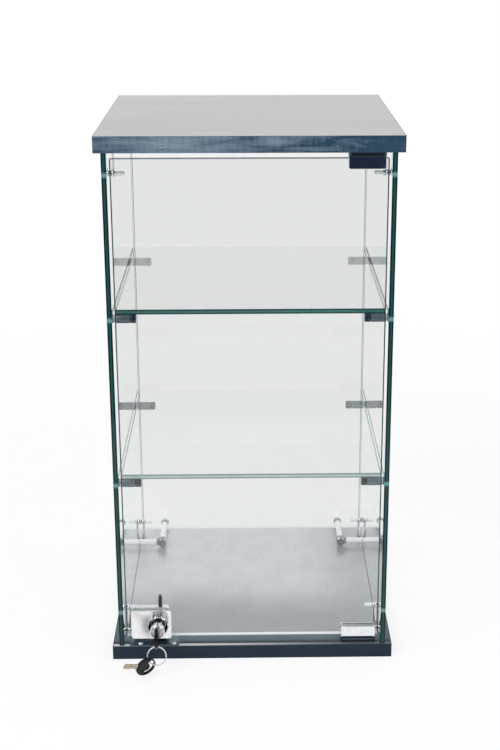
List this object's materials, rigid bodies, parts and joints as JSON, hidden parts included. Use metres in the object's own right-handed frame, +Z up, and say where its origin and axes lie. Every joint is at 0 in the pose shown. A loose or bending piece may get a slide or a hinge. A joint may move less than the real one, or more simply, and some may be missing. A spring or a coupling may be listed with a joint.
{
  "type": "countertop glass display case",
  "caption": "Countertop glass display case: dark laminated base and top boards, clear glass panes, two glass shelves on chrome supports, and a hinged glass door with a key lock.",
  "frame": {"origin": "centre of the base board's underside", "axes": "+X to the right seen from the door, +Y from the door to the back, +Z up"},
  "size_m": [0.35, 0.4249, 0.654],
  "materials": {
    "base_laminate": "dark blue-grey laminate, satin",
    "top_laminate": "blue-grey laminate, satin",
    "base_edging": "dark edging, satin",
    "top_edging": "blue-grey edging, satin",
    "floor_sheet": "thin satin aluminium sheet",
    "clear_glass": "clear, polished edges that show dark green",
    "shelf_glass": "clear, polished edges that show green",
    "chrome": "polished chrome plate",
    "steel": "nickel plated steel",
    "clear_plastic": "clear soft plastic",
    "nylon": "natural nylon",
    "key_metal": "nickel silver and brass, worn",
    "key_plastic": "black moulded plastic"
  },
  "bodies": {
    "case": {"base_board": "base_laminate", "top_board": "top_laminate", "base_edge_bands": "base_edging", "top_edge_bands": "top_edging", "floor_liner": "floor_sheet", "side_glass_left": "clear_glass", "side_glass_right": "clear_glass", "back_glass": "clear_glass", "shelf_lower": "shelf_glass", "shelf_upper": "shelf_glass", "support_barrels": "chrome", "support_end_caps": "chrome", "corner_posts": "chrome", "post_cap_nuts": "chrome", "brace_elbows": "chrome", "brace_side_tubes": "chrome", "brace_back_tubes": "chrome", "brace_elbow_screws": "chrome", "outer_caps": "chrome", "strike_screws": "chrome", "support_studs": "steel", "post_pins": "steel", "post_hanger_screws": "steel", "brace_studs": "steel", "hinge_plates": "steel", "hinge_plate_screws": "steel", "hinge_pins": "steel", "strike_plate": "steel", "support_washers": "clear_plastic", "post_washers": "clear_plastic", "brace_washers": "clear_plastic", "hinge_washers": "nylon"},
    "door": {"door_glass": "clear_glass", "hinge_clamps": "chrome", "clamp_gaskets": "clear_plastic", "clamp_screws": "steel", "lock_housing": "chrome", "lock_barrel": "chrome", "lock_gasket": "clear_plastic", "lock_clamp_screws": "steel"},
    "plug": {"lock_plug": "steel"},
    "bolt": {"lock_bolt": "steel"},
    "key": {"key_blade": "key_metal", "key_bow": "key_plastic"},
    "ring": {"key_ring": "chrome"},
    "spare_key": {"spare_key_blade": "key_metal", "spare_key_bow": "key_plastic"}
  },
  "joints": [
    {"name": "door_swing", "type": "hinge", "parent": "case", "child": "door", "pos_m": [0.1504, -0.165, 0.327], "axis": [0, 0, 1], "range_deg": [0, 100]},
    {"name": "plug_turn", "type": "hinge", "parent": "door", "child": "plug", "pos_m": [-0.1174, -0.197, 0.046], "axis": [0, -1, 0], "range_deg": [0, 90]},
    {"name": "bolt_slide", "type": "slide", "parent": "door", "child": "bolt", "axis": [0, 0, -1], "range_m": [0, 0.006]},
    {"name": "key_pull", "type": "slide", "parent": "plug", "child": "key", "axis": [0, -1, 0], "range_m": [0, 0.022]},
    {"name": "ring_swing", "type": "hinge", "parent": "key", "child": "ring", "pos_m": [-0.1174, -0.21457, 0.03609], "axis": [1, 0, 0], "range_deg": [-55, 0]},
    {"name": "spare_swing", "type": "hinge", "parent": "ring", "child": "spare_key", "pos_m": [-0.12386, -0.21932, 0.0155], "axis": [-0.829, 0.1258, 0.5449], "range_deg": [0, 25]}
  ],
  "couplings": [
    {"joint": "bolt_slide", "follows": "plug_turn", "m_per_rad": 0.0038197}
  ]
}
